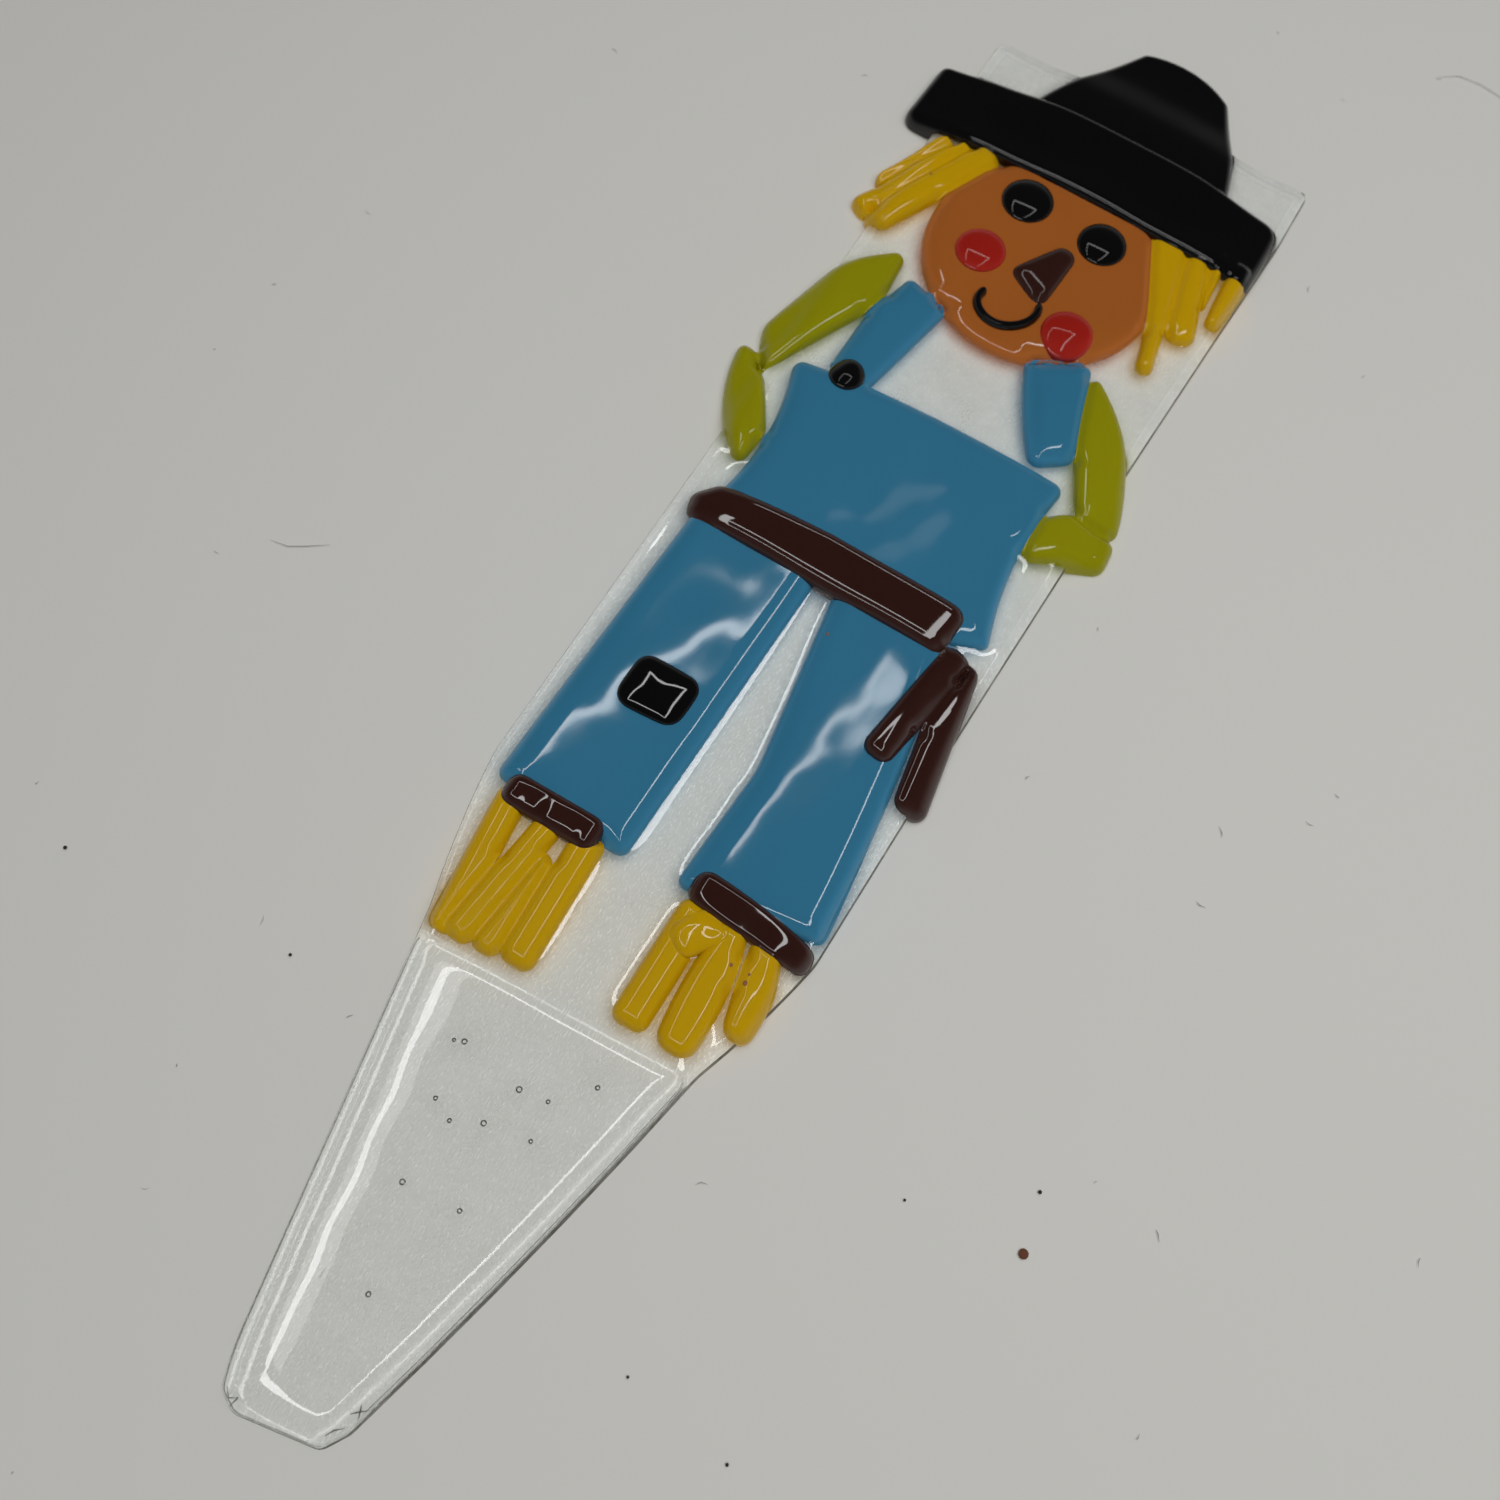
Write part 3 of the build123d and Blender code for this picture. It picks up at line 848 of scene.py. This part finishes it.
def build_floor():
    """Pale paper just behind the flat back. It is seen only from the front, and casts no shadow."""
    mesh = bpy.data.meshes.new("paper")
    half, gap = 1.6, 0.0003
    corners = [(x * half, gap, z * half) for x, z in ((-1, -1), (1, -1), (1, 1), (-1, 1))]
    mesh.from_pydata(corners, [], [(0, 1, 2, 3)])
    floor = bpy.data.objects.new("paper", mesh)
    bpy.context.scene.collection.objects.link(floor)
    material, tree = node_material("paper")
    place = wire(tree, "ShaderNodeTexCoord").outputs["Object"]
    cloud = wire(tree, "ShaderNodeTexNoise", Vector=place, Scale=6.0, Detail=3.0)
    tone = wire(
        tree, "ShaderNodeMix", {"data_type": "RGBA"}, i0=cloud.outputs[0],
        i6=(0.79, 0.785, 0.745, 1), i7=(0.81, 0.805, 0.765, 1),
    )
    plain = wire(tree, "ShaderNodeBsdfDiffuse", Color=tone.outputs[2])
    through = wire(tree, "ShaderNodeBsdfTransparent")
    back = wire(tree, "ShaderNodeNewGeometry").outputs["Backfacing"]
    shadow = wire(tree, "ShaderNodeLightPath").outputs["Is Shadow Ray"]
    gone = math_node(tree, "MAXIMUM", back, shadow)
    mixed = wire(tree, "ShaderNodeMixShader", i0=gone, i1=plain.outputs[0], i2=through.outputs[0])
    wire(tree, "ShaderNodeOutputMaterial", Surface=mixed.outputs[0])
    mesh.materials.append(material)


# What lies on the paper: grains as (x, z, radius), and long fibres as rows of (x, z).
DUST, GRIT, FIBRE = range(3)
GRIT_GRAINS = [(87.8, 84.7, 0.9)]
DUST_GRAINS = [
    (85.5, 94.8, 0.35), (63.1, 32.5, 0.3), (43, 34.9, 0.25), (-86.8, 54.4, 0.35), (66.9, 81.6, 0.25),
    (-42.8, 60.2, 0.3),
]
LONG_FIBRES = [
    [(-94.5, 120.9), (-91, 121.6), (-88, 123.6), (-84.6, 126.2)],
    [(48, 354.2), (52, 357.4), (57, 358), (62.2, 357.3), (66, 355)],
]
SHORT_FIBRES = 46
DUSTED_LOW, DUSTED_HIGH = (-130, -40), (150, 360)


def build_dust():
    """Specks and fibres that lie on the paper round the stake."""
    shell = Shell()
    for kind, grains in ((GRIT, GRIT_GRAINS), (DUST, DUST_GRAINS)):
        for x, z, radius in grains:
            shell.add_ball(x, z, 0.1, radius, flatness=0.5, kind=kind)
    random = np.random.RandomState(5)
    for x, z in random.uniform(DUSTED_LOW, DUSTED_HIGH, (SHORT_FIBRES, 2)):
        lean, length = random.uniform(0, TAU), random.uniform(0.5, 2.2)
        way = np.array([math.cos(lean), math.sin(lean)]) * length
        middle = np.array([x, z]) + way / 2 + random.uniform(-0.3, 0.3, 2)
        shell.add_thread([(x, z), middle, (x, z) + way], 0.05, random.uniform(0.04, 0.09), FIBRE)
    for points in LONG_FIBRES:
        shell.add_thread(points, 0.06, 0.07, FIBRE)
    colours = {"dust": (0.03, 0.028, 0.025), "grit": (0.16, 0.06, 0.03), "fibre": (0.33, 0.32, 0.31)}
    shell.object("dust", [matt(name, colour) for name, colour in colours.items()])


def panel(name, centre, size, radiance, turn=0.0, mirrored=True):
    """A flat light that faces the stake. A mirrored one is only seen in the glass.

    The centre is (x, height, z) in metres, with the height measured from the flat back.
    """
    data = bpy.data.lights.new(name, "AREA")
    data.shape = "RECTANGLE"
    data.size, data.size_y = size
    data.energy = radiance * math.pi * size[0] * size[1]
    light = bpy.data.objects.new(name, data)
    light.location = (centre[0], -centre[1], centre[2])
    light.rotation_mode = "QUATERNION"
    facing = Quaternion((1, 0, 0), math.radians(90 if centre[1] > 0 else -90))
    light.rotation_quaternion = facing @ Quaternion((0, 0, 1), math.radians(turn))
    light.visible_camera = False
    light.visible_diffuse = not mirrored
    light.visible_glossy = mirrored
    light.visible_transmission = mirrored
    bpy.context.scene.collection.objects.link(light)
    return light


def shine_on(light, nodes):
    """Lets a light shine on the chosen pieces only."""
    group = bpy.data.collections.new("lit_by_" + light.name)
    for node in nodes:
        group.objects.link(bpy.data.objects[node + "_melted"])
    light.light_linking.receiver_collection = group


# Places of the strips overhead: the two sides, the middle between them, and the middle of their length.
ABOVE = 0.9
LEFT, RIGHT, MIDDLE = -0.46, 0.20, -0.13
HALFWAY = 0.18
LONG, ACROSS = 0.86, 0.66


def strip(name, x, z, size, radiance, nodes, turn=0.0):
    """A strip overhead that chosen pieces mirror."""
    shine_on(panel(name, (x, ABOVE, z), size, radiance, turn), nodes)


def build_lights():
    """Strips and tubes overhead that chosen pieces mirror, and a soft fill for everything."""
    small = [node for node in SLOT if node.startswith(("straw", "cuff", "belt_tail"))]
    bars = ["belt"] + [node for node in SLOT if node.startswith(("hair", "sleeve"))]
    sheets = [BASE, CAP, "face", "knee_patch", *small]
    blue = ["leg_left", "leg_right", "bib", "strap_right"]
    strip("left_strip", LEFT, HALFWAY, (0.05, LONG), 9, sheets)
    strip("right_strip", RIGHT, HALFWAY, (0.06, LONG), 9, sheets + blue)
    strip("low_strip", MIDDLE, 0.60, (ACROSS, 0.06), 9, [CAP, "knee_patch", *small])
    strip("left_broad", -0.50, HALFWAY, (0.14, LONG), 8, bars)
    strip("right_broad", 0.24, HALFWAY, (0.14, LONG), 8, bars)
    strip("tube_left", -0.32, 0.21, (0.018, 0.79), 10, ["leg_left"], turn=-22)
    strip("tube_right", -0.077, 0.437, (0.010, 0.22), 10, ["leg_right"], turn=-12)
    strip("window_left", LEFT, HALFWAY, (0.22, 0.8), 2.2, [CAP])
    strip("belt_strip_high", MIDDLE, 1.22, (0.8, 0.12), 9, ["belt"])
    strip("belt_strip_low", MIDDLE, 0.17, (0.8, 0.08), 9, ["belt"])
    strip("hand", -0.131, 0.68, (0.018, 0.07), 0.8, ["bib"], turn=-20)
    strip("bottom_strip", MIDDLE, -0.28, (ACROSS, 0.06), 9, [node for node in SLOT if node not in SPOTS])
    strip("spot_left", LEFT, HALFWAY, (0.035, LONG), 4, SPOTS)
    strip("spot_right", RIGHT, HALFWAY, (0.035, LONG), 4, SPOTS)
    strip("spot_top", MIDDLE, 0.60, (ACROSS, 0.045), 4, SPOTS)
    strip("spot_rim", MIDDLE, -1.4, (1.2, 0.3), 6, SPOTS)
    strip("cap_strip_right", 0.22, 0.1, (0.12, 0.6), 8, [CAP])
    strip("cap_strip_high", MIDDLE, 0.62, (ACROSS, 0.12), 8, [CAP])
    strip("brim_strip", MIDDLE, 0.12, (0.6, 0.12), 5, ["hat_brim"])
    panel("fill", (0.16, 0.7, 0.18), (0.8, 0.8), 1.65, mirrored=False)
    panel("wide_fill", (0, 1.5, 0.16), (2.6, 2.6), 0.19, mirrored=False)
    panel("back_fill", (0, -1.0, 0.16), (1.4, 1.4), 1.2, mirrored=False)


def build_world():
    """In reflections dark straight overhead and brighter low down, and pale where it is seen itself."""
    world = bpy.data.worlds.new("room")
    world.use_nodes = True
    tree = world.node_tree
    tree.nodes.clear()
    way = wire(tree, "ShaderNodeTexCoord").outputs["Generated"]
    split = wire(tree, "ShaderNodeSeparateXYZ", Vector=way)
    walls = wire(
        tree, "ShaderNodeMapRange", {"interpolation_type": "SMOOTHSTEP"}, Value=split.outputs["Y"],
        From_Min=-0.5, From_Max=-0.05, To_Min=0.04, To_Max=0.3,
    )
    path = wire(tree, "ShaderNodeLightPath")
    seen = math_node(tree, "MAXIMUM", path.outputs["Is Camera Ray"], path.outputs["Is Transmission Ray"])
    strength = wire(tree, "ShaderNodeMix", {"data_type": "FLOAT"}, i0=seen, i2=walls.outputs[0], i3=0.5)
    glow = wire(tree, "ShaderNodeBackground", Color=(1, 0.99, 0.96, 1), Strength=strength.outputs[0])
    wire(tree, "ShaderNodeOutputWorld", Surface=glow.outputs[0])
    bpy.context.scene.world = world


CAMERA_PLACE = (0.0399, -0.2574, 0.0499)
CAMERA_AIM = Vector((0.0035, 0, 0.1347))
CAMERA_ROLL = 33.8
FOCUS = (0, 0, 0.08)


def build_camera():
    """The photograph's viewpoint: low over the spike, looking up the figure, with the camera rolled."""
    data = bpy.data.cameras.new("camera")
    data.lens = 36
    data.sensor_width = 36
    data.clip_start = 0.01
    focus = bpy.data.objects.new("focus", None)
    focus.location = FOCUS
    bpy.context.scene.collection.objects.link(focus)
    data.dof.use_dof = True
    data.dof.focus_object = focus
    data.dof.aperture_fstop = 18
    camera = bpy.data.objects.new("camera", data)
    camera.location = CAMERA_PLACE
    track = (CAMERA_AIM - camera.location).to_track_quat("-Z", "Y")
    camera.rotation_mode = "QUATERNION"
    camera.rotation_quaternion = track @ Quaternion((0, 0, 1), math.radians(CAMERA_ROLL))
    bpy.context.scene.collection.objects.link(camera)
    bpy.context.scene.camera = camera


build_floor()
build_dust()
build_lights()
build_world()
build_camera()
bpy.context.scene.view_settings.view_transform = "Standard"
